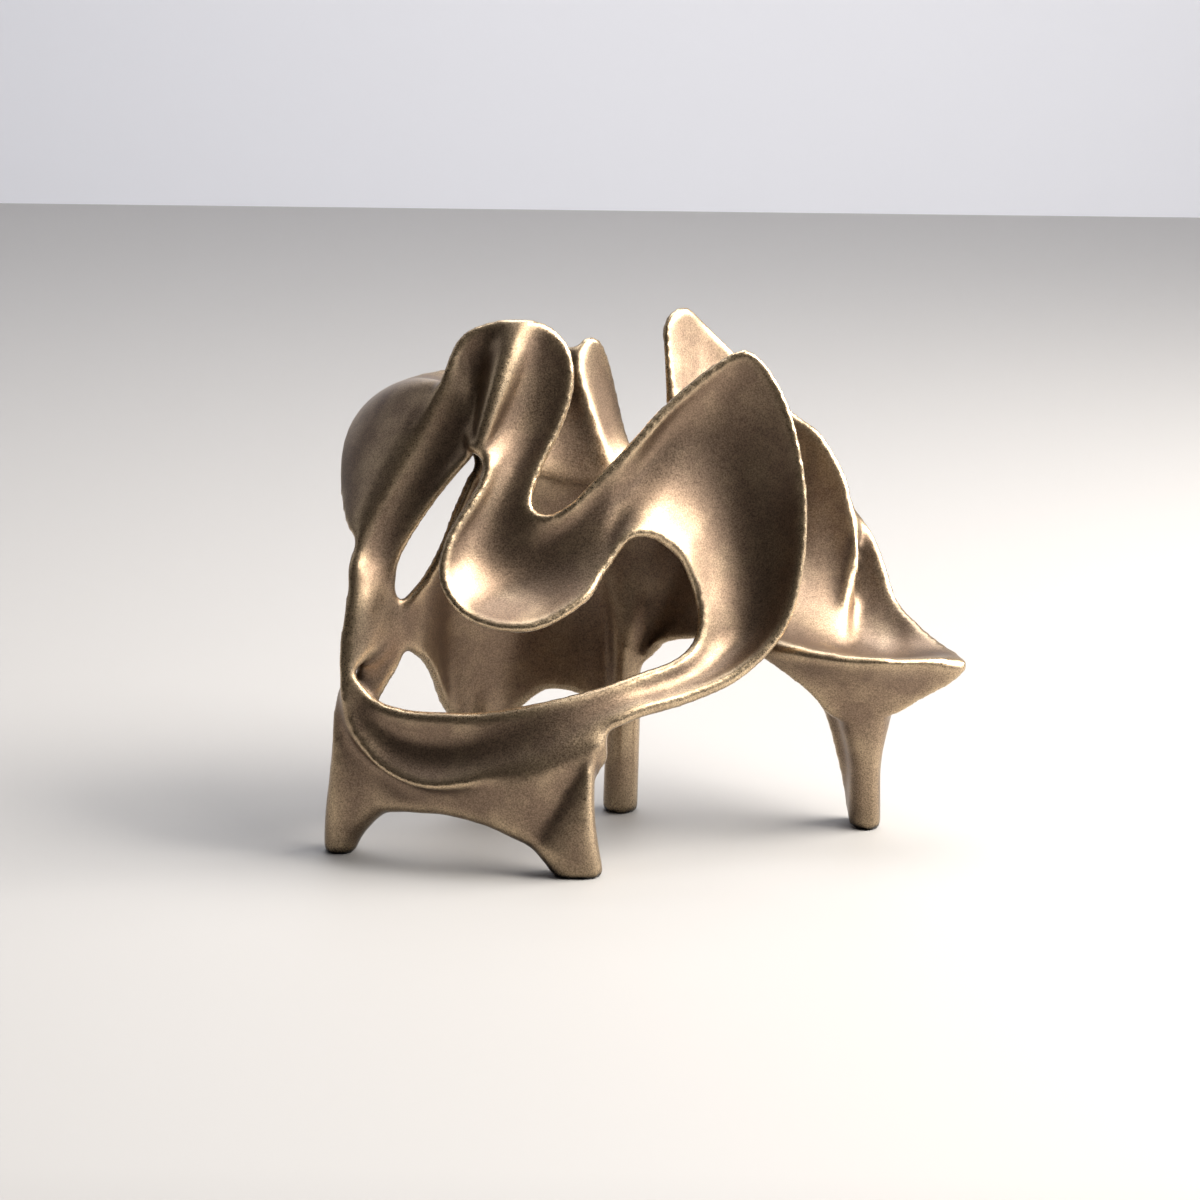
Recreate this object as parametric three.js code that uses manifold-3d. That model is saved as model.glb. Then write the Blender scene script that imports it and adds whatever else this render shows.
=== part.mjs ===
// An abstract cast bronze: one thin, flowing sheet that folds into a pierced front ring, a low
// front arch, a back wall, an open crown, a tall leaf and a boat shaped wing, on five feet.
// Millimetres, +Z up, the face with the pierced ring looks towards -Y.
import * as THREE from "three";
import { mergeVertices } from "three/addons/utils/BufferGeometryUtils.js";
import Module from "manifold-3d";

const sheet = 3.4; // wall of the casting where a row gives none
const rimSteps = [0, 0.15, 0.5]; // how the rim is rounded: distance in from the edge, in walls

const rimHalf = [0, 0.357]; // and half the thickness there

// Every band is a list of cross-sections. Each row: one edge point, the other edge point, how far
// the middle bows out of the straight line between them, and the wall there where it is not the
// plain sheet: one value, or one at each edge.
// FRONT RING, closed: outer edge, inner edge. Starts at the top of the loop and runs to the right.
const ring = [
  [[-43.5, 4.5, 170.8], [-56.5, -13.5, 128.5], -4, 3.6, 3.6],
  [[-34, 5, 169], [-55.5, -14, 128], 2, 3.6, 3.6],
  [[-26.5, 3, 161.5], [-54.5, -15, 127], 5, 3.6, 3.6],
  [[-25, 0, 150], [-54, -17, 124.5], 5, 3.6, 3.6],
  [[-28.5, -5, 137.5], [-55.5, -20, 120], 5, 3.6, 3.6],
  [[-35, -12, 124.5], [-58.5, -24, 115], 5, 3.6, 3.6],
  [[-38, -18, 114], [-66, -32, 103], 6, 3.6, 3.6],
  [[-33, -21, 111], [-66.8, -38, 90.5], 8, 3.6, 3.4],
  [[-25, -21, 115], [-57, -43, 80.5], 10, 3.6, 3.4],
  [[-18, -18, 122], [-38, -45, 78], 9, 3.6, 3.4],
  [[-10.5, -15, 129], [-21, -38, 85.5], 7, 3.6, 3.4],
  [[-2.5, -12, 137], [-14, -30, 94], 7, 3.6, 3.4],
  [[9, -6, 148], [-7, -24, 103], 8, 3.6, 3.4],
  [[22, -1, 158], [0, -21, 103.5], 8.5],
  [[32, 1, 162], [5, -19, 100.5], 9.5],
  [[41, 0, 153], [10, -18, 96], 10.5],
  [[47.5, -4, 138], [13.5, -18, 89], 11],
  [[51.5, -9, 117], [15.5, -19, 83], 10.5],
  [[51, -15, 94], [16.5, -21, 77], 9, 3.6, 3.6],
  [[45.5, -22, 75], [15, -25, 70], 8, 4, 4],
  [[32, -30, 61], [8.5, -31, 65], 5, 4.5, 5],
  [[15, -38, 54], [-3, -36, 62], 3, 5, 6],
  [[-4, -47, 50], [-17, -41, 58], 2, 5, 6.5],
  [[-26, -56, 40], [-35, -46, 54.5], 2.5, 4.5, 7],
  [[-49, -58.5, 31.5], [-53, -47, 51.5], 4, 4.2, 7],
  [[-69, -55, 27.5], [-67, -45, 50.5], 6, 4, 7],
  [[-84, -48, 30.5], [-80, -41, 50.5], 5, 4, 6.5],
  [[-95, -42, 40], [-89, -37, 53.5], 3, 4, 5.5],
  [[-99.5, -38, 52], [-95.5, -33, 63.5], 0, 4.5, 5],
  [[-100, -33, 68], [-86, -22, 67.5], -2, 5, 5],
  [[-98.5, -29, 81], [-83.5, -16, 80], -2, 5.5, 5.5],
  [[-96.5, -20, 99], [-81.5, -14, 93.5], 1, 5, 5],
  [[-89, -14, 113.5], [-70, -12, 113], 4, 3.8, 3.8],
  [[-77, -6, 135.5], [-58, -11, 128], 5, 3.6, 3.6],
  [[-68, -2, 154], [-58, -12, 129.5], 5, 3.6, 3.6],
  [[-62.5, 2, 165], [-58, -13, 130], 6, 3.6, 3.6],
  [[-54, 4, 169.6], [-57.3, -13, 129.3], 5, 3.6, 3.6],
];

// FRONT ARCH: outer edge, inner edge, from the left foot over to the middle foot.
const arch = [
  [[-105.5, -34, 1.2], [-94.5, -34, 1.2], 0, 11],
  [[-105, -34, 13], [-92, -34, 6], 0, 11],
  [[-102.5, -33, 36], [-85.5, -37, 13.5], 0, 9.5],
  [[-101.5, -31, 50], [-79.5, -41, 15.5], 0, 7.5],
  [[-97, -30, 57], [-73, -44, 16], 0, 6.5],
  [[-80, -40, 36], [-64, -47, 16.5], 0, 7.5],
  [[-61, -49, 33], [-51, -51, 14.5], 0, 8],
  [[-38, -55.5, 38], [-43, -54.5, 11.5], 0, 9],
  [[-13.5, -50.5, 45.5], [-37, -56, 8.5], 0, 8.5],
  [[-16.4, -54, 34], [-33.5, -57, 5], 0, 10],
  [[-16.2, -56, 18], [-31.5, -57.5, 2.5], 0, 11],
  [[-13.5, -57, 1.2], [-30.5, -57, 1.2], 0, 11],
];

// WEB behind the left strand: outer edge, inner edge, from the strand down into the left leg.
const web = [
  [[-94, -25, 86], [-83, -17, 83], 0, 4],
  [[-95, -27, 73], [-80, -18, 71], 0, 4],
  [[-95, -28, 62], [-79.5, -19, 63], 0, 4],
  [[-96, -29, 51], [-87, -26, 50], 0, 4],
  [[-97, -31, 37], [-89, -29, 36.5], 0, 4],
  [[-99, -34, 24], [-91, -33, 20.5], 0, 4],
];

// RIB behind the right leg: outer edge, inner edge, from the arch down to the foot.
const rib = [
  [[57, 1, 44], [76, 4, 50], 0, 5],
  [[60.5, 5, 37], [76, 5, 38], 0, 5],
  [[63.5, 6, 27], [76, 6, 27], 0, 5],
  [[66.5, 7, 14.5], [75, 7, 14.5], 0, 5],
  [[69, 7.5, 1.2], [74, 7.5, 1.2], 0, 5],
];

// BACK WALL, left half: upper edge, lower edge, from the left strand to the middle post.
const backLeft = [
  [[-84, -18, 79], [-81, -20, 64], 0, 4.5],
  [[-75, -12, 85.5], [-75, -13, 60], 1, 3.8],
  [[-68, -8, 97], [-71, -4, 51], 2],
  [[-62, -7, 112.5], [-67, 10, 35], 3],
  [[-57, -6, 123.5], [-60, 19, 27], 3],
  [[-50, 4, 123], [-50, 22, 27], 3],
  [[-42, 12, 119], [-40.5, 21, 35.5], 3],
  [[-32, 16, 116.5], [-33, 19, 41], 2],
  [[-22, 19, 115], [-22, 17, 40], 1],
  [[-13, 21, 116], [-11, 16, 34], 0, 3.6],
];

// BACK WALL, right half: upper edge, lower edge, from the fold of the blade to the wing tip.
const backRight = [
  [[-19, 36, 160], [-22.5, 33.5, 160], 0, 3],
  [[-16.5, 40, 157.5], [-24.5, 30.5, 157], 0, 3.2],
  [[-14, 44, 150], [-25.5, 27, 151], 0],
  [[-12, 45, 141], [-23.5, 25, 143.5], 0],
  [[-8.5, 40, 127.5], [-19, 23, 130.5], 0],
  [[-4.5, 33, 119], [-15.5, 21, 117], 0],
  [[1, 27, 109.5], [-14.5, 19, 97], 0],
  [[7.5, 19, 102.5], [-13, 17, 70], 0],
  [[15, 12, 94.5], [-9, 16, 45], 1],
  [[20, 6, 88.5], [-2.5, 12.5, 51], 1],
  [[24, 2, 83], [3, 8.5, 59.5], 1],
  [[28, -1, 78], [14, 3, 63.5], 1],
  [[33, -6, 72.5], [27, -2, 64], 1, 3.6],
  [[41, -12, 66], [40, -7, 59.5], 0, 3.8],
  [[54, -17, 64.5], [54, -8, 49], 1, 4],
  [[67, -19.5, 63.5], [64, -5, 38], 2, 4],
  [[79, -19, 63], [81, -5, 39.5], 2, 4],
  [[89.5, -16, 62.5], [91, -6, 46], 1, 4],
  [[99.5, -12, 61], [102, -8, 53], 0, 4],
  [[107, -8, 58.5], [107, -7, 57], 0],
];

// CROWN: upper edge, lower edge, from the band's side round the back to the fold of the blade.
const crown = [
  [[-96.5, -18, 99.5], [-95, -18, 98.5], 0],
  [[-99.5, -4, 106], [-92, -14, 108.5], -1],
  [[-101.5, 8, 112.5], [-87, -10, 118], -2],
  [[-102, 18, 121], [-80.5, -6, 129], -3],
  [[-100, 26, 129], [-74.5, -2, 140], -3],
  [[-95, 32, 135.5], [-68.5, 0, 148], -3],
  [[-87, 36, 141], [-63.5, 1, 146], -3],
  [[-77.5, 38, 145], [-59, -1, 136], -3],
  [[-68.5, 40, 147], [-56, -5, 124], -3],
  [[-57, 41, 150], [-49, 4, 119], -3],
  [[-43, 41, 153.5], [-39, 12, 115], -3],
  [[-31.5, 38, 157], [-29, 17, 112], -2],
  [[-25, 31, 157.5], [-15, 21, 111], 0],
];

// LEAF: upper edge, root, from the ear at the back to its right edge.
const leaf = [
  [[5, 46, 154], [7.5, 40, 131], 0, 3],
  [[5, 49, 162], [10, 32, 115], 2],
  [[8, 53, 166.5], [15, 22, 100], 5],
  [[13, 58, 167], [21, 12, 88], 8],
  [[19, 62, 161], [31, 1, 75], 11],
  [[27, 64, 153], [40, -7, 66], 12],
  [[38, 64, 142.5], [46.5, -9, 63], 13],
  [[50, 60, 131], [53.5, -8, 61.5], 13],
  [[60, 55, 124], [59, -4, 60], 11],
  [[67.5, 48, 112.5], [63, 1, 60], 8],
  [[71.5, 40, 100.5], [66, 6, 61], 5],
  [[72.5, 32, 90], [67.5, 10, 62], 3],
  [[70.5, 23, 72], [67.5, 14, 62], 1, 3],
];

// WING: front edge, back edge, from the tip to where it runs in under the leaf.
const wing = [
  [[107.5, -8, 58.5], [107, -5, 59], 0, 3],
  [[99.5, -12, 61], [99, 6, 62], 2, 3.6],
  [[89.5, -16, 62.5], [91.5, 17, 67], 7, 3.6],
  [[79, -19, 63], [85.5, 26, 72.5], 12, 3.6],
  [[67, -19.5, 63.5], [82, 34, 82.5], 15, 3.6],
  [[54, -17, 64.5], [77.5, 40, 93], 16, 3.6],
  [[46, -14, 65.5], [72.5, 44, 99.5], 15, 3.6],
  [[40, -11, 66], [66.5, 47, 102.5], 12],
];

// POSTS: foot centre, half widths across X and Y, turn in degrees, centre of the top, half widths
// of the top.
const posts = [
  { foot: [-8, 15], half: [6, 6], turn: 0, top: [-6, 17.5, 102], topHalf: [11, 1.5], from: 0.55 },
  { foot: [74.5, 1], half: [5.4, 7.5], turn: 14, top: [73, 0, 58], topHalf: [13, 8], from: 0.3 },
  { foot: [-53, 24], half: [5.6, 5.4], turn: 20, top: [-55, 17.5, 50], topHalf: [6, 1.2], from: 0.3 },
];
const soleRound = 1.2; // rounding round the sole of a foot
const sliver = 0.075; // facets smaller than this are merged

const wasm = await Module();
wasm.setup();

function rail(rows, pick, closed) {
  const points = rows.map((row) => new THREE.Vector3(...pick(row)));
  return new THREE.CatmullRomCurve3(points, closed, "catmullrom", 0.5);
}

function solidFrom(vertices, faces) {
  const flat = new Float32Array(vertices.flatMap((v) => [v.x, v.y, v.z]));
  let volume = 0;
  for (const [a, b, c] of faces) {
    volume += vertices[a].dot(new THREE.Vector3().crossVectors(vertices[b], vertices[c])) / 6;
  }
  const turned = volume < 0 ? faces.map(([a, b, c]) => [a, c, b]) : faces;
  const mesh = new wasm.Mesh({
    numProp: 3,
    vertProperties: flat,
    triVerts: new Uint32Array(turned.flat()),
  });
  return new wasm.Manifold(mesh);
}

// Joins closed loops of points, one after another, into a skin.
function skin(loops, closed) {
  const around = loops[0].length;
  const vertices = loops.flat();
  const faces = [];
  const last = closed ? loops.length : loops.length - 1;
  for (let i = 0; i < last; i += 1) {
    const next = (i + 1) % loops.length;
    for (let j = 0; j < around; j += 1) {
      const k = (j + 1) % around;
      const [a, b] = [i * around + j, i * around + k];
      const [c, d] = [next * around + k, next * around + j];
      faces.push([a, b, c], [a, c, d]);
    }
  }
  if (!closed) {
    for (const [base, flip] of [[0, true], [(loops.length - 1) * around, false]]) {
      for (let j = 0; j < around / 2; j += 1) {
        const [a, b] = [base + j, base + j + 1];
        const [c, d] = [base + around - j - 1, base + ((around - j) % around)];
        const quad = [[a, b, c], [a, c, d]].filter((t) => new Set(t).size === 3);
        for (const t of quad) faces.push(flip ? [t[0], t[2], t[1]] : t);
      }
    }
  }
  return solidFrom(vertices, faces);
}

// The flat sole under the last cross-section of a foot, drawn in by the rounding.
function sole(loop) {
  const centre = new THREE.Vector3();
  for (const p of loop) centre.addScaledVector(p, 1 / loop.length);
  return loop.map((p) => {
    const out = p.clone().sub(centre).setZ(0);
    const drawn = Math.max(1 - soleRound / out.length(), 0.5);
    return new THREE.Vector3(centre.x + out.x * drawn, centre.y + out.y * drawn, 0);
  });
}

// A band of sheet metal through its cross-sections, with rounded rims.
function band(rows, { closed = false, steps = 3, inner = 3, soles = "" } = {}) {
  const edgeA = rail(rows, (row) => row[0], closed);
  const edgeB = rail(rows, (row) => row[1], closed);
  const walls = (row) => [row[3] ?? sheet, row[4] ?? row[3] ?? sheet];
  const form = rail(rows, (row) => [row[2], ...walls(row)], closed);
  const spans = closed ? rows.length : rows.length - 1;
  const count = closed ? spans * steps : spans * steps + 1;
  const place = (i) => (closed ? i / count : i / (count - 1));
  const a = [];
  const b = [];
  const mid = [];
  for (let i = 0; i < count; i += 1) {
    a.push(edgeA.getPoint(place(i)));
    b.push(edgeB.getPoint(place(i)));
    mid.push(a[i].clone().lerp(b[i], 0.5));
  }
  const before = (i) => (closed ? (i + count - 1) % count : Math.max(i - 1, 0));
  const after = (i) => (closed ? (i + 1) % count : Math.min(i + 1, count - 1));
  const grid = [];
  const thick = [];
  for (let i = 0; i < count; i += 1) {
    const { x: bow, y: wallA, z: wallB } = form.getPoint(place(i));
    const along = mid[after(i)].clone().sub(mid[before(i)]);
    const across = b[i].clone().sub(a[i]);
    const width = across.length();
    const side = new THREE.Vector3().crossVectors(along, across).normalize();
    const [rimA, rimB] = [wallA, wallB].map((wall) =>
      rimSteps.map((s) => Math.min((s * wall) / width, s * 0.8)),
    );
    const stops = [...rimA];
    const gap = (1 - rimA[2] - rimB[2]) / (inner + 1);
    for (let k = 1; k <= inner; k += 1) stops.push(rimA[2] + k * gap);
    stops.push(1 - rimB[2], 1 - rimB[1], 1);
    grid.push(
      stops.map((s) => {
        const p = a[i].clone().lerp(b[i], s);
        return p.addScaledVector(side, bow * 4 * s * (1 - s));
      }),
    );
    thick.push(stops.map((s) => THREE.MathUtils.lerp(wallA, wallB, s)));
  }
  const columns = grid[0].length;
  const half = (j, wall) => {
    const k = Math.min(j, columns - 1 - j);
    return wall * (rimHalf[k] ?? 0.5);
  };
  const loops = grid.map((row, i) => {
    const up = [];
    const down = [];
    for (let j = 0; j < columns; j += 1) {
      const jn = Math.min(Math.max(j, 2), columns - 3);
      const s = grid[after(i)][jn].clone().sub(grid[before(i)][jn]);
      s.addScaledVector(mid[after(i)].clone().sub(mid[before(i)]), 0.4);
      const t = row[jn + 1].clone().sub(row[jn - 1]);
      const normal = s.cross(t).normalize();
      const h = half(j, thick[i][j]);
      up.push(row[j].clone().addScaledVector(normal, h));
      if (j > 0 && j < columns - 1) down.push(row[j].clone().addScaledVector(normal, -h));
    }
    return [...up, ...down.reverse()];
  });
  if (soles.includes("first")) loops.unshift(sole(loops[0]));
  if (soles.includes("last")) loops.push(sole(loops[loops.length - 1]));
  return skin(loops, closed);
}

// A post from a flat foot up into the sheet, its section easing from one oval into another.
function post({ foot, half, turn, top, topHalf, from }) {
  const around = 16;
  const levels = [
    [0, -soleRound],
    [soleRound * 0.35, -soleRound * 0.3],
    [soleRound, 0],
    ...[0.25, 0.45, 0.6, 0.75, 0.88, 1].map((u) => [top[2] * u, 0]),
  ];
  const loops = levels.map(([z, grow]) => {
    const u = z / top[2];
    const ease = THREE.MathUtils.smoothstep(u, from, 1);
    const cx = THREE.MathUtils.lerp(foot[0], top[0], u);
    const cy = THREE.MathUtils.lerp(foot[1], top[1], u);
    const rx = THREE.MathUtils.lerp(half[0] * (1 - 0.06 * u), topHalf[0], ease) + grow;
    const ry = THREE.MathUtils.lerp(half[1] * (1 - 0.06 * u), topHalf[1], ease) + grow;
    const angle = THREE.MathUtils.degToRad(turn);
    const loop = [];
    for (let k = 0; k < around; k += 1) {
      const f = (k / around) * 2 * Math.PI;
      const [x, y] = [rx * Math.cos(f), ry * Math.sin(f)];
      loop.push(
        new THREE.Vector3(
          cx + x * Math.cos(angle) - y * Math.sin(angle),
          cy + x * Math.sin(angle) + y * Math.cos(angle),
          z,
        ),
      );
    }
    return loop;
  });
  return skin(loops, false);
}

const members = [
  band(ring, { closed: true, steps: 2, inner: 4 }),
  band(arch, { steps: 2, inner: 2, soles: "first last" }),
  band(web, { steps: 2, inner: 2 }),
  band(rib, { steps: 2, inner: 1, soles: "last" }),
  band(backLeft, { steps: 2, inner: 3 }),
  band(backRight, { steps: 2, inner: 3 }),
  band(crown, { steps: 2, inner: 3 }),
  band(leaf, { steps: 2, inner: 4 }),
  band(wing, { steps: 2, inner: 4 }),
  ...posts.map(post),
];
let whole = members[0];
for (const member of members.slice(1)) whole = whole.add(member);
whole = whole.simplify(sliver);

const result = whole.getMesh();
let geometry = new THREE.BufferGeometry();
geometry.setAttribute("position", new THREE.BufferAttribute(result.vertProperties, 3));
geometry.setIndex(new THREE.BufferAttribute(result.triVerts, 1));
geometry = mergeVertices(geometry, 1e-3);
geometry.computeBoundingBox();
const box = geometry.boundingBox;
geometry.translate(-(box.min.x + box.max.x) / 2, -(box.min.y + box.max.y) / 2, -box.min.z);
geometry.computeVertexNormals();

const bronze = new THREE.MeshStandardMaterial({ color: 0x8a6a45, metalness: 0.9, roughness: 0.42 });
bronze.name = "bronze";
const casting = new THREE.Mesh(geometry, bronze);
casting.name = "casting";
const part = new THREE.Group();
part.name = "abstract_sculpture";
part.add(casting);
export default part;
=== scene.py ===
import math

import bmesh
import bpy
import numpy as np
from mathutils import Matrix, Vector
from mathutils.bvhtree import BVHTree


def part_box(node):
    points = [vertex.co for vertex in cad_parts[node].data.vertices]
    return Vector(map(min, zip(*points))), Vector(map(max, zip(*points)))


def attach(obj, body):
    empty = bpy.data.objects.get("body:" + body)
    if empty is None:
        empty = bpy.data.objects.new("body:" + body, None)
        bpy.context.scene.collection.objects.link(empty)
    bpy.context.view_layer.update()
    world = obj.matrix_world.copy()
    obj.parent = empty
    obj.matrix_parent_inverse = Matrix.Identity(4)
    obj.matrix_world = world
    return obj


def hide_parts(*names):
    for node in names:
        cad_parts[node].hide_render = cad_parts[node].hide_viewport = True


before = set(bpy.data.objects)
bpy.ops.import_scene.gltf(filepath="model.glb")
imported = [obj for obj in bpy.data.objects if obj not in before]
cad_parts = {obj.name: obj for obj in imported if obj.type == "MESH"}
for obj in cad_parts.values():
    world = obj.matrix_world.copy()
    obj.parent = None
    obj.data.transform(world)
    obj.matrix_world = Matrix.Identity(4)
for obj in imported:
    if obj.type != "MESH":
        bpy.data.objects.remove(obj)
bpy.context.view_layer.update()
mm = 0.001

# Every band is a list of cross-sections. Each row: one edge point, the other edge point, how far
# the middle bows out of the straight line between them, and the wall there where it is not the
# plain sheet: one value, or one at each edge.
# FRONT RING, closed: outer edge, inner edge. Starts at the top of the loop and runs to the right.
ring = [
    [[-43.5, 4.5, 170.8], [-56.5, -13.5, 128.5], -4, 3.6, 3.6],
    [[-34, 5, 169], [-55.5, -14, 128], 2, 3.6, 3.6],
    [[-26.5, 3, 161.5], [-54.5, -15, 127], 5, 3.6, 3.6],
    [[-25, 0, 150], [-54, -17, 124.5], 5, 3.6, 3.6],
    [[-28.5, -5, 137.5], [-55.5, -20, 120], 5, 3.6, 3.6],
    [[-35, -12, 124.5], [-58.5, -24, 115], 5, 3.6, 3.6],
    [[-38, -18, 114], [-66, -32, 103], 6, 3.6, 3.6],
    [[-33, -21, 111], [-66.8, -38, 90.5], 8, 3.6, 3.4],
    [[-25, -21, 115], [-57, -43, 80.5], 10, 3.6, 3.4],
    [[-18, -18, 122], [-38, -45, 78], 9, 3.6, 3.4],
    [[-10.5, -15, 129], [-21, -38, 85.5], 7, 3.6, 3.4],
    [[-2.5, -12, 137], [-14, -30, 94], 7, 3.6, 3.4],
    [[9, -6, 148], [-7, -24, 103], 8, 3.6, 3.4],
    [[22, -1, 158], [0, -21, 103.5], 8.5],
    [[32, 1, 162], [5, -19, 100.5], 9.5],
    [[41, 0, 153], [10, -18, 96], 10.5],
    [[47.5, -4, 138], [13.5, -18, 89], 11],
    [[51.5, -9, 117], [15.5, -19, 83], 10.5],
    [[51, -15, 94], [16.5, -21, 77], 9, 3.6, 3.6],
    [[45.5, -22, 75], [15, -25, 70], 8, 4, 4],
    [[32, -30, 61], [8.5, -31, 65], 5, 4.5, 5],
    [[15, -38, 54], [-3, -36, 62], 3, 5, 6],
    [[-4, -47, 50], [-17, -41, 58], 2, 5, 6.5],
    [[-26, -56, 40], [-35, -46, 54.5], 2.5, 4.5, 7],
    [[-49, -58.5, 31.5], [-53, -47, 51.5], 4, 4.2, 7],
    [[-69, -55, 27.5], [-67, -45, 50.5], 6, 4, 7],
    [[-84, -48, 30.5], [-80, -41, 50.5], 5, 4, 6.5],
    [[-95, -42, 40], [-89, -37, 53.5], 3, 4, 5.5],
    [[-99.5, -38, 52], [-95.5, -33, 63.5], 0, 4.5, 5],
    [[-100, -33, 68], [-86, -22, 67.5], -2, 5, 5],
    [[-98.5, -29, 81], [-83.5, -16, 80], -2, 5.5, 5.5],
    [[-96.5, -20, 99], [-81.5, -14, 93.5], 1, 5, 5],
    [[-89, -14, 113.5], [-70, -12, 113], 4, 3.8, 3.8],
    [[-77, -6, 135.5], [-58, -11, 128], 5, 3.6, 3.6],
    [[-68, -2, 154], [-58, -12, 129.5], 5, 3.6, 3.6],
    [[-62.5, 2, 165], [-58, -13, 130], 6, 3.6, 3.6],
    [[-54, 4, 169.6], [-57.3, -13, 129.3], 5, 3.6, 3.6],
]

# FRONT ARCH: outer edge, inner edge, from the left foot over to the middle foot.
arch = [
    [[-105.5, -34, 1.2], [-94.5, -34, 1.2], 0, 11],
    [[-105, -34, 13], [-92, -34, 6], 0, 11],
    [[-102.5, -33, 36], [-85.5, -37, 13.5], 0, 9.5],
    [[-101.5, -31, 50], [-79.5, -41, 15.5], 0, 7.5],
    [[-97, -30, 57], [-73, -44, 16], 0, 6.5],
    [[-80, -40, 36], [-64, -47, 16.5], 0, 7.5],
    [[-61, -49, 33], [-51, -51, 14.5], 0, 8],
    [[-38, -55.5, 38], [-43, -54.5, 11.5], 0, 9],
    [[-13.5, -50.5, 45.5], [-37, -56, 8.5], 0, 8.5],
    [[-16.4, -54, 34], [-33.5, -57, 5], 0, 10],
    [[-16.2, -56, 18], [-31.5, -57.5, 2.5], 0, 11],
    [[-13.5, -57, 1.2], [-30.5, -57, 1.2], 0, 11],
]

# WEB behind the left strand: outer edge, inner edge, from the strand down into the left leg.
web = [
    [[-94, -25, 86], [-83, -17, 83], 0, 4],
    [[-95, -27, 73], [-80, -18, 71], 0, 4],
    [[-95, -28, 62], [-79.5, -19, 63], 0, 4],
    [[-96, -29, 51], [-87, -26, 50], 0, 4],
    [[-97, -31, 37], [-89, -29, 36.5], 0, 4],
    [[-99, -34, 24], [-91, -33, 20.5], 0, 4],
]

# RIB behind the right leg: outer edge, inner edge, from the arch down to the foot.
rib = [
    [[57, 1, 44], [76, 4, 50], 0, 5],
    [[60.5, 5, 37], [76, 5, 38], 0, 5],
    [[63.5, 6, 27], [76, 6, 27], 0, 5],
    [[66.5, 7, 14.5], [75, 7, 14.5], 0, 5],
    [[69, 7.5, 1.2], [74, 7.5, 1.2], 0, 5],
]

# BACK WALL, left half: upper edge, lower edge, from the left strand to the middle post.
backLeft = [
    [[-84, -18, 79], [-81, -20, 64], 0, 4.5],
    [[-75, -12, 85.5], [-75, -13, 60], 1, 3.8],
    [[-68, -8, 97], [-71, -4, 51], 2],
    [[-62, -7, 112.5], [-67, 10, 35], 3],
    [[-57, -6, 123.5], [-60, 19, 27], 3],
    [[-50, 4, 123], [-50, 22, 27], 3],
    [[-42, 12, 119], [-40.5, 21, 35.5], 3],
    [[-32, 16, 116.5], [-33, 19, 41], 2],
    [[-22, 19, 115], [-22, 17, 40], 1],
    [[-13, 21, 116], [-11, 16, 34], 0, 3.6],
]

# BACK WALL, right half: upper edge, lower edge, from the fold of the blade to the wing tip.
backRight = [
    [[-19, 36, 160], [-22.5, 33.5, 160], 0, 3],
    [[-16.5, 40, 157.5], [-24.5, 30.5, 157], 0, 3.2],
    [[-14, 44, 150], [-25.5, 27, 151], 0],
    [[-12, 45, 141], [-23.5, 25, 143.5], 0],
    [[-8.5, 40, 127.5], [-19, 23, 130.5], 0],
    [[-4.5, 33, 119], [-15.5, 21, 117], 0],
    [[1, 27, 109.5], [-14.5, 19, 97], 0],
    [[7.5, 19, 102.5], [-13, 17, 70], 0],
    [[15, 12, 94.5], [-9, 16, 45], 1],
    [[20, 6, 88.5], [-2.5, 12.5, 51], 1],
    [[24, 2, 83], [3, 8.5, 59.5], 1],
    [[28, -1, 78], [14, 3, 63.5], 1],
    [[33, -6, 72.5], [27, -2, 64], 1, 3.6],
    [[41, -12, 66], [40, -7, 59.5], 0, 3.8],
    [[54, -17, 64.5], [54, -8, 49], 1, 4],
    [[67, -19.5, 63.5], [64, -5, 38], 2, 4],
    [[79, -19, 63], [81, -5, 39.5], 2, 4],
    [[89.5, -16, 62.5], [91, -6, 46], 1, 4],
    [[99.5, -12, 61], [102, -8, 53], 0, 4],
    [[107, -8, 58.5], [107, -7, 57], 0],
]

# CROWN: upper edge, lower edge, from the band's side round the back to the fold of the blade.
crown = [
    [[-96.5, -18, 99.5], [-95, -18, 98.5], 0],
    [[-99.5, -4, 106], [-92, -14, 108.5], -1],
    [[-101.5, 8, 112.5], [-87, -10, 118], -2],
    [[-102, 18, 121], [-80.5, -6, 129], -3],
    [[-100, 26, 129], [-74.5, -2, 140], -3],
    [[-95, 32, 135.5], [-68.5, 0, 148], -3],
    [[-87, 36, 141], [-63.5, 1, 146], -3],
    [[-77.5, 38, 145], [-59, -1, 136], -3],
    [[-68.5, 40, 147], [-56, -5, 124], -3],
    [[-57, 41, 150], [-49, 4, 119], -3],
    [[-43, 41, 153.5], [-39, 12, 115], -3],
    [[-31.5, 38, 157], [-29, 17, 112], -2],
    [[-25, 31, 157.5], [-15, 21, 111], 0],
]

# LEAF: upper edge, root, from the ear at the back to its right edge.
leaf = [
    [[5, 46, 154], [7.5, 40, 131], 0, 3],
    [[5, 49, 162], [10, 32, 115], 2],
    [[8, 53, 166.5], [15, 22, 100], 5],
    [[13, 58, 167], [21, 12, 88], 8],
    [[19, 62, 161], [31, 1, 75], 11],
    [[27, 64, 153], [40, -7, 66], 12],
    [[38, 64, 142.5], [46.5, -9, 63], 13],
    [[50, 60, 131], [53.5, -8, 61.5], 13],
    [[60, 55, 124], [59, -4, 60], 11],
    [[67.5, 48, 112.5], [63, 1, 60], 8],
    [[71.5, 40, 100.5], [66, 6, 61], 5],
    [[72.5, 32, 90], [67.5, 10, 62], 3],
    [[70.5, 23, 72], [67.5, 14, 62], 1, 3],
]

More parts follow.
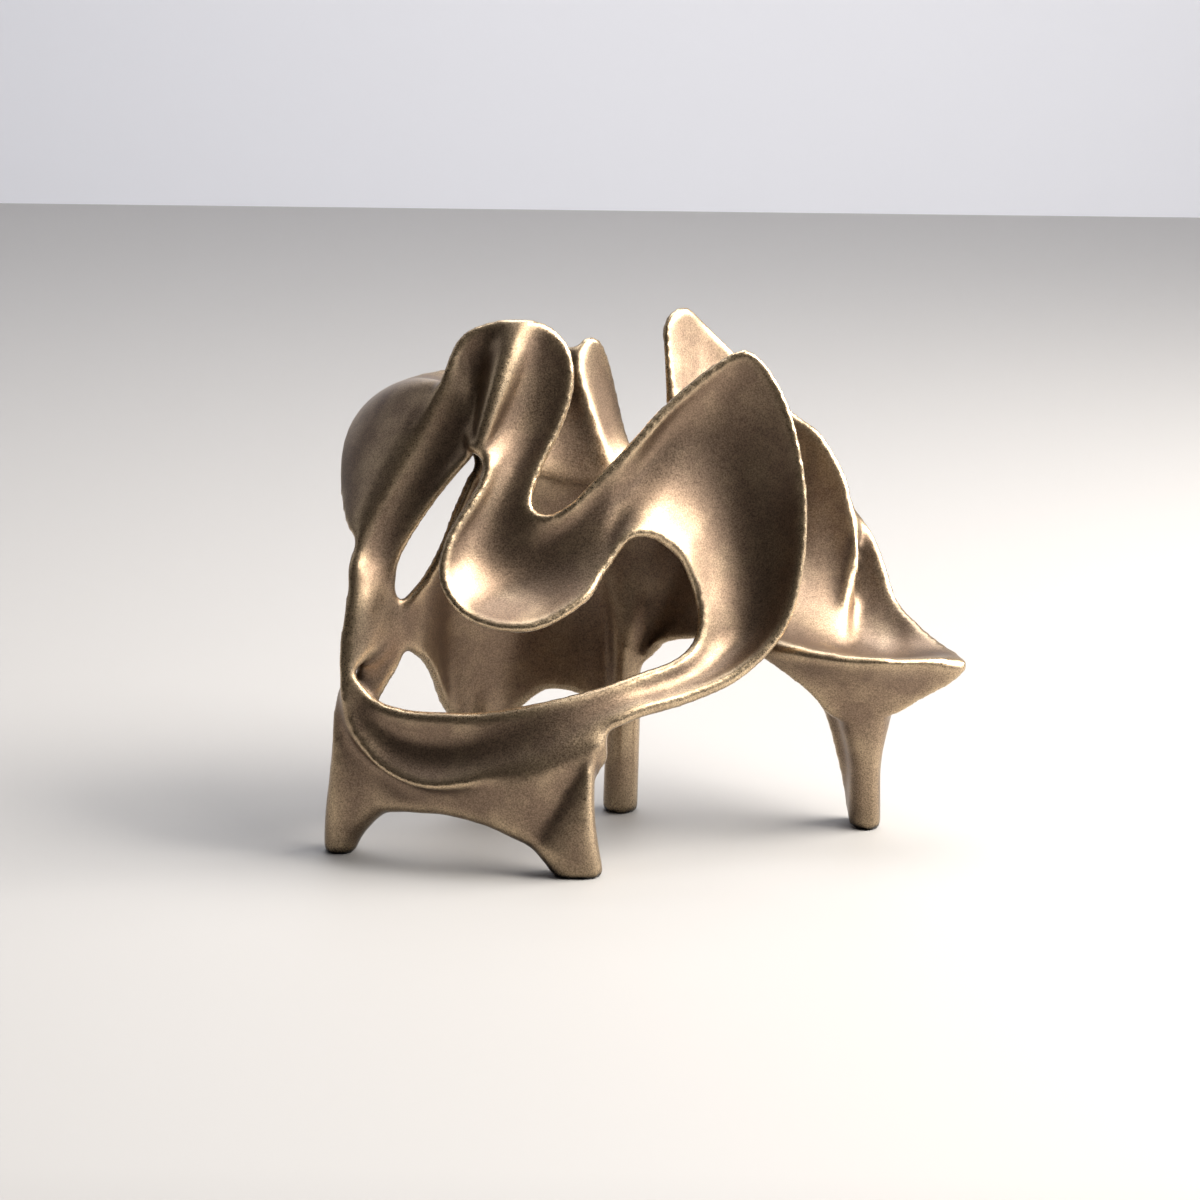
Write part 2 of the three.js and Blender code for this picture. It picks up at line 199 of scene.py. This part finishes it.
# WING: front edge, back edge, from the tip to where it runs in under the leaf.
wing = [
    [[107.5, -8, 58.5], [107, -5, 59], 0, 3],
    [[99.5, -12, 61], [99, 6, 62], 2, 3.6],
    [[89.5, -16, 62.5], [91.5, 17, 67], 7, 3.6],
    [[79, -19, 63], [85.5, 26, 72.5], 12, 3.6],
    [[67, -19.5, 63.5], [82, 34, 82.5], 15, 3.6],
    [[54, -17, 64.5], [77.5, 40, 93], 16, 3.6],
    [[46, -14, 65.5], [72.5, 44, 99.5], 15, 3.6],
    [[40, -11, 66], [66.5, 47, 102.5], 12],
]

posts = {  # foot centre, half widths, turn in degrees, top centre, half widths there, easing start
    "middlePost": [(-8, 15), (6, 6), 0, (-6, 17.5, 102), (11, 1.5), 0.55],
    "rightPost": [(74.5, 1), (5.4, 7.5), 14, (73, 0, 58), (13, 8), 0.3],
    "backPost": [(-53, 24), (5.6, 5.4), 20, (-55, 17.5, 50), (6, 1.2), 0.3],
}

casting = {
    "sheet": 3.4,  # wall where a row gives none, mm
    "soleRound": 1.2,  # rounding round the sole of a foot, mm
    "steps": 8,  # cross-sections to a span
    "inner": 15,  # columns between the two rims
    "rimColumns": 5,  # columns round a rim, edge to full wall
    "around": 40,  # points round a post
    "levels": 48,  # ovals up a post
    "tangentLean": 0.4,  # share of the band's own direction in its normals
    "postTaper": 0.06,  # how much a post narrows from foot to top, as a share
    "voxel": 1.2,  # grain of the melted skin, mm
    "jointReach": 7.0,  # how far from another member a joint is still filleted, mm
    "jointRounds": 40,  # smoothing rounds in the joints
    "skinRounds": 4,  # smoothing rounds over the whole skin
    "smoothing": 0.5,  # how far a point moves towards its neighbours in a round
    "soleSnap": 0.45,  # below this height the skin lies flat on the floor, mm
    "rimRounds": 10,  # rounds that take the rims out of the surface they are measured against
    "broadRounds": 60,  # and the broad ridges
}
closedBands = {"ring": ring}
openBands = {
    "arch": (arch, "first last"),
    "web": (web, ""),
    "rib": (rib, "last"),
    "backLeft": (backLeft, ""),
    "backRight": (backRight, ""),
    "crown": (crown, ""),
    "leaf": (leaf, ""),
    "wing": (wing, ""),
}


def rail(points, closed, steps):
    # a smooth curve through the points, the same number of steps to every span
    p = np.array(points, float)
    if closed:
        ends = [np.roll(p, 1, 0), p, np.roll(p, -1, 0), np.roll(p, -2, 0)]
    else:
        p = np.vstack([2 * p[0] - p[1], p, 2 * p[-1] - p[-2]])
        ends = [p[:-3], p[1:-2], p[2:-1], p[3:]]
    t = np.linspace(0, 1, steps, endpoint=False)
    start, end = 2 * t**3 - 3 * t**2 + 1, -2 * t**3 + 3 * t**2
    leave, arrive = (t**3 - 2 * t**2 + t) / 2, (t**3 - t**2) / 2
    weights = np.stack([-leave, start - arrive, end + leave, arrive], 1)
    curve = np.einsum("sk,kid->isd", weights, np.array(ends)).reshape(-1, p.shape[1])
    return curve if closed else np.vstack([curve, p[-2]])


def unit(vectors):
    return vectors / np.maximum(np.linalg.norm(vectors, axis=-1, keepdims=True), 1e-9)


def spanOver(values, closed):
    # the step from the place before to the place after
    if closed:
        return np.roll(values, -1, 0) - np.roll(values, 1, 0)
    padded = np.concatenate([values[:1], values, values[-1:]])
    return padded[2:] - padded[:-2]


def bandLoops(rows, closed):
    steps, rimCount = casting["steps"], casting["rimColumns"]
    a = rail([row[0] for row in rows], closed, steps)
    b = rail([row[1] for row in rows], closed, steps)
    walls = [(row[3:] * 2)[:2] or [casting["sheet"]] * 2 for row in rows]
    form = rail([[row[2], *wall] for row, wall in zip(rows, walls)], closed, steps)
    bow, wallA, wallB = form.T[:, :, None]
    middle, across = (a + b) / 2, b - a
    drift = spanOver(middle, closed)
    side = unit(np.cross(drift, across))[:, None]
    width = np.linalg.norm(across, axis=1)[:, None]
    turn = np.linspace(0, math.pi / 2, rimCount)
    inset, swell = (1 - np.cos(turn)) / 2, np.sin(turn) / 2
    rimA = np.minimum(inset * wallA / width, inset * 0.8)
    rimB = 1 - np.minimum(inset * wallB / width, inset * 0.8)[:, ::-1]
    share = np.linspace(0, 1, casting["inner"] + 2)[1:-1]
    between = rimA[:, -1:] + share * (rimB[:, :1] - rimA[:, -1:])
    s = np.hstack([rimA, between, rimB])
    sheet = a[:, None] + s[..., None] * across[:, None]
    sheet = sheet + side * (bow * 4 * s * (1 - s))[..., None]
    half = np.concatenate([swell, np.full(len(share), 0.5), swell[::-1]])
    half = half * (wallA + (wallB - wallA) * s)
    columns = s.shape[1]
    at = np.clip(np.arange(columns), rimCount, columns - rimCount - 1)
    tangent = spanOver(sheet, closed)[:, at] + casting["tangentLean"] * drift[:, None]
    normal = unit(np.cross(tangent, sheet[:, at + 1] - sheet[:, at - 1]))
    up = sheet + normal * half[..., None]
    down = sheet - normal * half[..., None]
    return np.concatenate([up, down[:, -2:0:-1]], axis=1)


def soleLoops(loop):
    # the rounded edge and flat sole under the last cross-section of a foot
    out = (loop - loop.mean(0)) * (1, 1, 0)
    reach = np.linalg.norm(out, axis=1, keepdims=True)
    centre = np.array([*loop.mean(0)[:2], 0])
    rounded = []
    for turn in np.radians([0, 30, 60, 90]):
        drawn = np.maximum(1 - casting["soleRound"] * (1 - math.cos(turn)) / reach, 0.5)
        lift = casting["soleRound"] * (1 - math.sin(turn))
        rounded.append(centre + out * drawn + (0, 0, lift))
    return np.array(rounded)


def postLoops(foot, half, turn, top, topHalf, easeFrom):
    edge = casting["soleRound"]
    turns = np.radians([90, 60, 30])
    heights = [edge * (1 - math.sin(t)) for t in turns]
    heights += list(np.linspace(edge, top[2], casting["levels"]))
    draws = [edge * (1 - math.cos(t)) for t in turns] + [0] * casting["levels"]
    round_ = np.linspace(0, 2 * math.pi, casting["around"], endpoint=False)
    c, s = math.cos(math.radians(turn)), math.sin(math.radians(turn))
    loops = []
    for z, drawn in zip(heights, draws):
        u = z / top[2]
        ease = min(max((u - easeFrom) / (1 - easeFrom), 0), 1)
        ease = ease * ease * (3 - 2 * ease)
        narrowed = 1 - casting["postTaper"] * u
        rx, ry = [
            h * narrowed * (1 - ease) + t * ease - drawn for h, t in zip(half, topHalf)
        ]
        x, y = rx * np.cos(round_), ry * np.sin(round_)
        cx, cy = [f + (t - f) * u for f, t in zip(foot, top)]
        loops.append(np.stack([cx + x * c - y * s, cy + x * s + y * c, np.full(len(x), z)], 1))
    return np.array(loops)


def tubeFromLoops(loops, closed):
    # a grid wrapped along the loops, its seams welded and its open ends filled
    loops = np.concatenate([loops, loops[:, :1]], axis=1)
    if closed:
        loops = np.concatenate([loops, loops[:1]])
    rows, columns = loops.shape[:2]
    bm = bmesh.new()
    bmesh.ops.create_grid(bm, x_segments=rows - 1, y_segments=columns - 1, size=0.5)
    for v in bm.verts:
        i, j = round((v.co.x + 0.5) * (rows - 1)), round((v.co.y + 0.5) * (columns - 1))
        v.co = loops[i, j] * mm
    bmesh.ops.remove_doubles(bm, verts=bm.verts, dist=1e-7)
    if not closed:
        bmesh.ops.holes_fill(bm, edges=[e for e in bm.edges if e.is_boundary], sides=0)
    bmesh.ops.recalc_face_normals(bm, faces=bm.faces)
    mesh = bpy.data.meshes.new("member")
    bm.to_mesh(mesh)
    bm.free()
    return mesh


def castingMembers():
    members = {}
    for name, rows in closedBands.items():
        members[name] = tubeFromLoops(bandLoops(rows, True), True)
    for name, (rows, soles) in openBands.items():
        loops = bandLoops(rows, False)
        if "first" in soles:
            loops = np.concatenate([soleLoops(loops[0])[::-1], loops[1:]])
        if "last" in soles:
            loops = np.concatenate([loops[:-1], soleLoops(loops[-1])])
        members[name] = tubeFromLoops(loops, False)
    for name, post in posts.items():
        members[name] = tubeFromLoops(postLoops(*post), False)
    return members


def withModifiers(obj):
    # the object's mesh as its modifiers leave it
    bpy.context.view_layer.update()
    graph = bpy.context.evaluated_depsgraph_get()
    mesh = bpy.data.meshes.new_from_object(obj.evaluated_get(graph))
    obj.modifiers.clear()
    obj.data = mesh
    return mesh


def melt(members):
    # all members in one skin of even grain
    bm = bmesh.new()
    for mesh in members.values():
        bm.from_mesh(mesh)
    mesh = bpy.data.meshes.new("casting")
    bm.to_mesh(mesh)
    bm.free()
    obj = bpy.data.objects.new("castSheet", mesh)
    bpy.context.scene.collection.objects.link(obj)
    remesh = obj.modifiers.new("melt", "REMESH")
    remesh.mode = "VOXEL"
    remesh.voxel_size = casting["voxel"] * mm
    withModifiers(obj)
    return obj


def jointWeights(obj, members):
    # 1 where a second member is close by, 0 on the open sheet
    reach = casting["jointReach"] * mm
    trees = []
    for mesh in members.values():
        bm = bmesh.new()
        bm.from_mesh(mesh)
        trees.append(BVHTree.FromBMesh(bm))
        bm.free()
    weights = []
    for v in obj.data.vertices:
        near = sorted(tree.find_nearest(v.co, reach)[3] or reach for tree in trees)
        nearness = 1 - min(near[1] / reach, 1)
        weights.append(nearness * nearness * (3 - 2 * nearness))
    return weights


def smoothSkin(obj, members):
    joints = obj.vertex_groups.new(name="joints")
    for index, weight in enumerate(jointWeights(obj, members)):
        joints.add([index], weight, "REPLACE")
    fillet = obj.modifiers.new("fillet", "SMOOTH")
    fillet.vertex_group = "joints"
    fillet.factor = casting["smoothing"]
    fillet.iterations = casting["jointRounds"]
    skin = obj.modifiers.new("skin", "SMOOTH")
    skin.factor = casting["smoothing"]
    skin.iterations = casting["skinRounds"]
    mesh = withModifiers(obj)
    obj.vertex_groups.clear()
    return mesh


def intoCadBox(mesh):
    # the finished skin sits where the solid does and stays inside its box
    co = np.zeros(len(mesh.vertices) * 3)
    mesh.vertices.foreach_get("co", co)
    co = co.reshape(-1, 3)
    low, high = [np.array(corner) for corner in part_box("casting")]
    co += [*((low + high) / 2 - (co.min(0) + co.max(0)) / 2)[:2], 0]
    co[co[:, 2] < casting["soleSnap"] * mm, 2] = 0
    mesh.vertices.foreach_set("co", np.clip(co, low, high).ravel())
    mesh.update()


def relief(mesh, rounds):
    # how far each point stands out of its surroundings: rims and ridges above 0, creases below
    count = len(mesh.vertices)
    co = np.zeros(count * 3)
    normal = np.zeros(count * 3)
    mesh.vertices.foreach_get("co", co)
    mesh.vertices.foreach_get("normal", normal)
    co, normal = co.reshape(-1, 3), normal.reshape(-1, 3)
    pairs = np.zeros(len(mesh.edges) * 2, int)
    mesh.edges.foreach_get("vertices", pairs)
    ends = np.concatenate([pairs[0::2], pairs[1::2]])
    others = np.concatenate([pairs[1::2], pairs[0::2]])
    links = np.maximum(np.bincount(ends, minlength=count), 1)
    smooth = co.copy()
    for _ in range(rounds):
        mean = [np.bincount(ends, smooth[others, k], count) / links for k in range(3)]
        smooth = (smooth + np.stack(mean, 1)) / 2
    return ((co - smooth) * normal).sum(1) / mm


def makeCasting():
    members = castingMembers()
    obj = melt(members)
    print("melted", len(obj.data.vertices), "points")
    mesh = smoothSkin(obj, members)
    intoCadBox(mesh)
    for name, rounds in (("rimWear", "rimRounds"), ("broadWear", "broadRounds")):
        layer = mesh.attributes.new(name, "FLOAT", "POINT")
        height = relief(mesh, casting[rounds])
        layer.data.foreach_set("value", height.astype(np.float32))
    mesh.polygons.foreach_set("use_smooth", [True] * len(mesh.polygons))
    mesh.calc_loop_triangles()
    print("casting", len(mesh.loop_triangles), "triangles")
    return obj


bronze = {
    "patina": (0.235, 0.165, 0.115),
    "worn": (0.78, 0.60, 0.38),
    # painted shade: the near-black that hollows and gaps between members are darkened to
    "paintedShadeColour": (0.014, 0.011, 0.009),
    "metallic": 0.94,
    "grain": 0.5,  # size of the cast grain, mm
    "mottle": 14.0,  # size of the patches in the patina, mm
    "ripple": 5.0,  # size of the low swells in the surface, mm
    "rippleShare": 2.4,  # their height against the grain's
    "grainHeight": 0.03,  # mm
    "hollowReach": 30.0,  # how far the painted shade of the hollows looks round, mm
    "hollowSamples": 8,
    # each range: what comes in from and to, what goes out from and to
    "rimRange": (0.05, 0.8, 0, 0.2),  # wear on a rim by its relief in mm
    "broadRange": (0.0, 1.8, 0, 0.45),  # and on a broad ridge
    "mottleRange": (0.35, 0.7, -0.1, 0.2),
    "speckRange": (0.35, 0.65, 0.6, 1.3),  # light and dark of the grain
    "hollowRange": (0.2, 0.78, 0, 1),
    "grainRough": (0.3, 0.7, -0.05, 0.07),
    "wearRough": (0, 1, 0.37, 0.23),  # roughness of the patina and of the worn metal
}


def addNode(material, kind, settings=None, **inputs):
    node = material.node_tree.nodes.new(kind)
    for name, value in (settings or {}).items():
        setattr(node, name, value)
    for name, value in inputs.items():
        socket = node.inputs[int(name[1:])] if name[0] == "_" else node.inputs[name]
        if isinstance(value, bpy.types.NodeSocket):
            material.node_tree.links.new(value, socket)
        else:
            socket.default_value = value
    return node


def bronzeMaterial():
    material = bpy.data.materials.new("patinatedBronze")
    material.use_nodes = True
    shader = material.node_tree.nodes["Principled BSDF"]

    def math_(operation, a, b, clamp=False):
        settings = {"operation": operation, "use_clamp": clamp}
        return addNode(material, "ShaderNodeMath", settings, _0=a, _1=b).outputs[0]

    def remap(value, span):
        node = addNode(material, "ShaderNodeMapRange", None, Value=value)
        for name, number in zip(("From Min", "From Max", "To Min", "To Max"), bronze[span]):
            node.inputs[name].default_value = number
        return node.outputs["Result"]

    def mix(factor, a, b, blend="MIX"):
        node = addNode(material, "ShaderNodeMix", {"data_type": "RGBA", "blend_type": blend})
        for index, value in ((0, factor), (6, a), (7, b)):
            if isinstance(value, bpy.types.NodeSocket):
                material.node_tree.links.new(value, node.inputs[index])
            else:
                node.inputs[index].default_value = (*value, 1) if index else value
        return node.outputs[2]

    place = addNode(material, "ShaderNodeTexCoord").outputs["Object"]

    def noise(size, detail, rough=0.5):
        node = addNode(material, "ShaderNodeTexNoise", None, Vector=place)
        node.inputs["Scale"].default_value = 1 / (size * mm)
        node.inputs["Detail"].default_value = detail
        node.inputs["Roughness"].default_value = rough
        return node.outputs["Fac"]

    grain = noise(bronze["grain"], 3, 0.6)
    mottle = noise(bronze["mottle"], 3, 0.55)
    rim = addNode(material, "ShaderNodeAttribute", {"attribute_name": "rimWear"}).outputs["Fac"]
    broad = addNode(material, "ShaderNodeAttribute", {"attribute_name": "broadWear"}).outputs["Fac"]
    wear = math_("ADD", remap(rim, "rimRange"), remap(broad, "broadRange"))
    wear = math_("ADD", wear, remap(mottle, "mottleRange"), True)
    colour = mix(wear, bronze["patina"], bronze["worn"])
    speck = remap(grain, "speckRange")
    grey = addNode(material, "ShaderNodeCombineColor", None, Red=speck, Green=speck, Blue=speck)
    colour = mix(1.0, colour, grey.outputs[0], "MULTIPLY")
    # painted shade: ambient occlusion darkens the colour towards near-black in hollows, creases and
    # between members
    settings = {"samples": bronze["hollowSamples"]}
    hollow = addNode(material, "ShaderNodeAmbientOcclusion", settings)
    hollow.inputs["Distance"].default_value = bronze["hollowReach"] * mm
    shade = remap(hollow.outputs["AO"], "hollowRange")
    colour = mix(shade, bronze["paintedShadeColour"], colour)
    material.node_tree.links.new(colour, shader.inputs["Base Color"])
    shader.inputs["Metallic"].default_value = bronze["metallic"]
    rough = math_("ADD", remap(grain, "grainRough"), remap(wear, "wearRough"))
    material.node_tree.links.new(rough, shader.inputs["Roughness"])
    ripple = math_("MULTIPLY", noise(bronze["ripple"], 2), bronze["rippleShare"])
    height = math_("ADD", grain, ripple)
    bump = addNode(material, "ShaderNodeBump", None, Height=height)
    bump.inputs["Strength"].default_value = 1.0
    bump.inputs["Distance"].default_value = bronze["grainHeight"] * mm
    material.node_tree.links.new(bump.outputs[0], shader.inputs["Normal"])
    return material


studio = {
    "floorColour": (0.40, 0.39, 0.385),
    "floorPaintedShade": (0.16, 0.15, 0.145),  # painted shade: the floor's colour in front, where the room is unlit
    "wallColour": (0.80, 0.82, 0.90),
    "floorSize": 6.0,
    "paintRoughness": 0.6,
    "floorFade": (-0.62, -0.30),  # where along Y the floor's painted shade goes from dark to pale
    "airFade": (-0.55, 0.45),  # where the air goes from dark to bright, on the unit sphere
    "wallBehind": 1.6,
    "darkSide": (0.05, 0.045, 0.042),  # the unlit room behind the camera
    "brightSide": (1.15, 1.17, 1.25),
    "worldStrength": 0.8,
    "rightward": 0.7,  # how much of the air's brightness comes from the right
    "aim": (0, 0, 0.08),  # the point that every light faces
    # place, size, power, colour
    "lights": {
        "windowRight": [(0.85, 0.05, 0.75), 0.9, 30, (1.0, 0.95, 0.87)],
        "overheadRight": [(0.62, -0.25, 1.0), 0.7, 8, (1.0, 0.95, 0.86)],
        "windowLeft": [(-1.1, 0.15, 0.7), 0.6, 0.4, (0.93, 0.96, 1.0)],
        "wallWash": [(0.0, 0.7, 1.7), 1.2, 17, (0.95, 0.97, 1.0)],
    },
}


def plainMaterial(name, colour, roughness):
    material = bpy.data.materials.new(name)
    material.use_nodes = True
    shader = material.node_tree.nodes["Principled BSDF"]
    shader.inputs["Base Color"].default_value = (*colour, 1)
    shader.inputs["Roughness"].default_value = roughness
    return material


def paintFloorShade(material):
    # painted shade: the floor's colour stays pale round the work and darkens towards the camera,
    # where the light falls off
    nodes, links = material.node_tree.nodes, material.node_tree.links
    place, split = nodes.new("ShaderNodeTexCoord"), nodes.new("ShaderNodeSeparateXYZ")
    depth, mix = nodes.new("ShaderNodeMapRange"), nodes.new("ShaderNodeMix")
    depth.inputs["From Min"].default_value = studio["floorFade"][0]
    depth.inputs["From Max"].default_value = studio["floorFade"][1]
    mix.data_type = "RGBA"
    mix.inputs[6].default_value = (*studio["floorPaintedShade"], 1)
    mix.inputs[7].default_value = (*studio["floorColour"], 1)
    links.new(place.outputs["Object"], split.inputs[0])
    links.new(split.outputs["Y"], depth.inputs["Value"])
    links.new(depth.outputs["Result"], mix.inputs[0])
    links.new(mix.outputs[2], nodes["Principled BSDF"].inputs["Base Color"])


def makeStage():
    for name, place, turn, colour in (
        ("floor", (0, 0, 0), 0, studio["floorColour"]),
        ("backdrop", (0, studio["wallBehind"], 0), 90, studio["wallColour"]),
    ):
        bm = bmesh.new()
        bmesh.ops.create_grid(bm, x_segments=1, y_segments=1, size=studio["floorSize"] / 2)
        bmesh.ops.rotate(bm, verts=bm.verts, matrix=Matrix.Rotation(math.radians(turn), 3, "X"))
        bmesh.ops.translate(bm, verts=bm.verts, vec=place)
        mesh = bpy.data.meshes.new(name)
        bm.to_mesh(mesh)
        bm.free()
        obj = bpy.data.objects.new(name, mesh)
        bpy.context.scene.collection.objects.link(obj)
        paint = plainMaterial(name + "Paint", colour, studio["paintRoughness"])
        mesh.materials.append(paint)
        # the floor gets painted shade towards the camera
        if name == "floor":
            paintFloorShade(paint)


def makeLights():
    for name, (place, size, power, colour) in studio["lights"].items():
        lamp = bpy.data.lights.new(name, "AREA")
        lamp.shape = "DISK"
        lamp.size = size
        lamp.energy = power
        lamp.color = colour
        obj = bpy.data.objects.new(name, lamp)
        obj.location = place
        towards = Vector(studio["aim"]) - Vector(place)
        obj.rotation_euler = towards.to_track_quat("-Z", "Y").to_euler()
        bpy.context.scene.collection.objects.link(obj)
    makeWorld()


def makeWorld():
    # dark behind the camera and on the left, bright towards the backdrop and the right
    world = bpy.data.worlds.new("studioAir")
    world.use_nodes = True
    nodes, links = world.node_tree.nodes, world.node_tree.links
    background = nodes["Background"]
    background.inputs["Strength"].default_value = studio["worldStrength"]
    place, split = nodes.new("ShaderNodeTexCoord"), nodes.new("ShaderNodeSeparateXYZ")
    depth, mix = nodes.new("ShaderNodeMapRange"), nodes.new("ShaderNodeMix")
    depth.inputs["From Min"].default_value = studio["airFade"][0]
    depth.inputs["From Max"].default_value = studio["airFade"][1]
    mix.data_type = "RGBA"
    mix.inputs[6].default_value = (*studio["darkSide"], 1)
    mix.inputs[7].default_value = (*studio["brightSide"], 1)
    links.new(place.outputs["Generated"], split.inputs[0])
    lean = nodes.new("ShaderNodeMath")
    lean.operation = "MULTIPLY_ADD"
    lean.inputs[1].default_value = studio["rightward"]
    links.new(split.outputs["X"], lean.inputs[0])
    links.new(split.outputs["Y"], lean.inputs[2])
    links.new(lean.outputs[0], depth.inputs["Value"])
    links.new(depth.outputs["Result"], mix.inputs[0])
    links.new(mix.outputs[2], background.inputs["Color"])
    bpy.context.scene.world = world


cameraSet = {
    "place": (-0.0161, -1.1333, 0.354),
    "lookDown": 13.73,  # degrees below level
    "roll": 0.69,  # degrees
    "lens": 105.0,
    "sensor": 36.0,
}


def makeCamera():
    camera = bpy.data.cameras.new("camera")
    camera.lens = cameraSet["lens"]
    camera.sensor_width = cameraSet["sensor"]
    obj = bpy.data.objects.new("camera", camera)
    tilt = Matrix.Rotation(math.radians(90 - cameraSet["lookDown"]), 4, "X")
    roll = Matrix.Rotation(math.radians(cameraSet["roll"]), 4, "Z")
    obj.matrix_world = Matrix.Translation(cameraSet["place"]) @ tilt @ roll
    bpy.context.scene.collection.objects.link(obj)
    bpy.context.scene.camera = obj


bpy.context.scene.view_settings.view_transform = "Standard"
makeCamera()
makeStage()
makeLights()
print("stage, lights and camera")

sheetPiece = makeCasting()
sheetPiece.data.materials.clear()
sheetPiece.data.materials.append(bronzeMaterial())
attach(sheetPiece, "root")
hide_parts("casting")
print("casting in place")
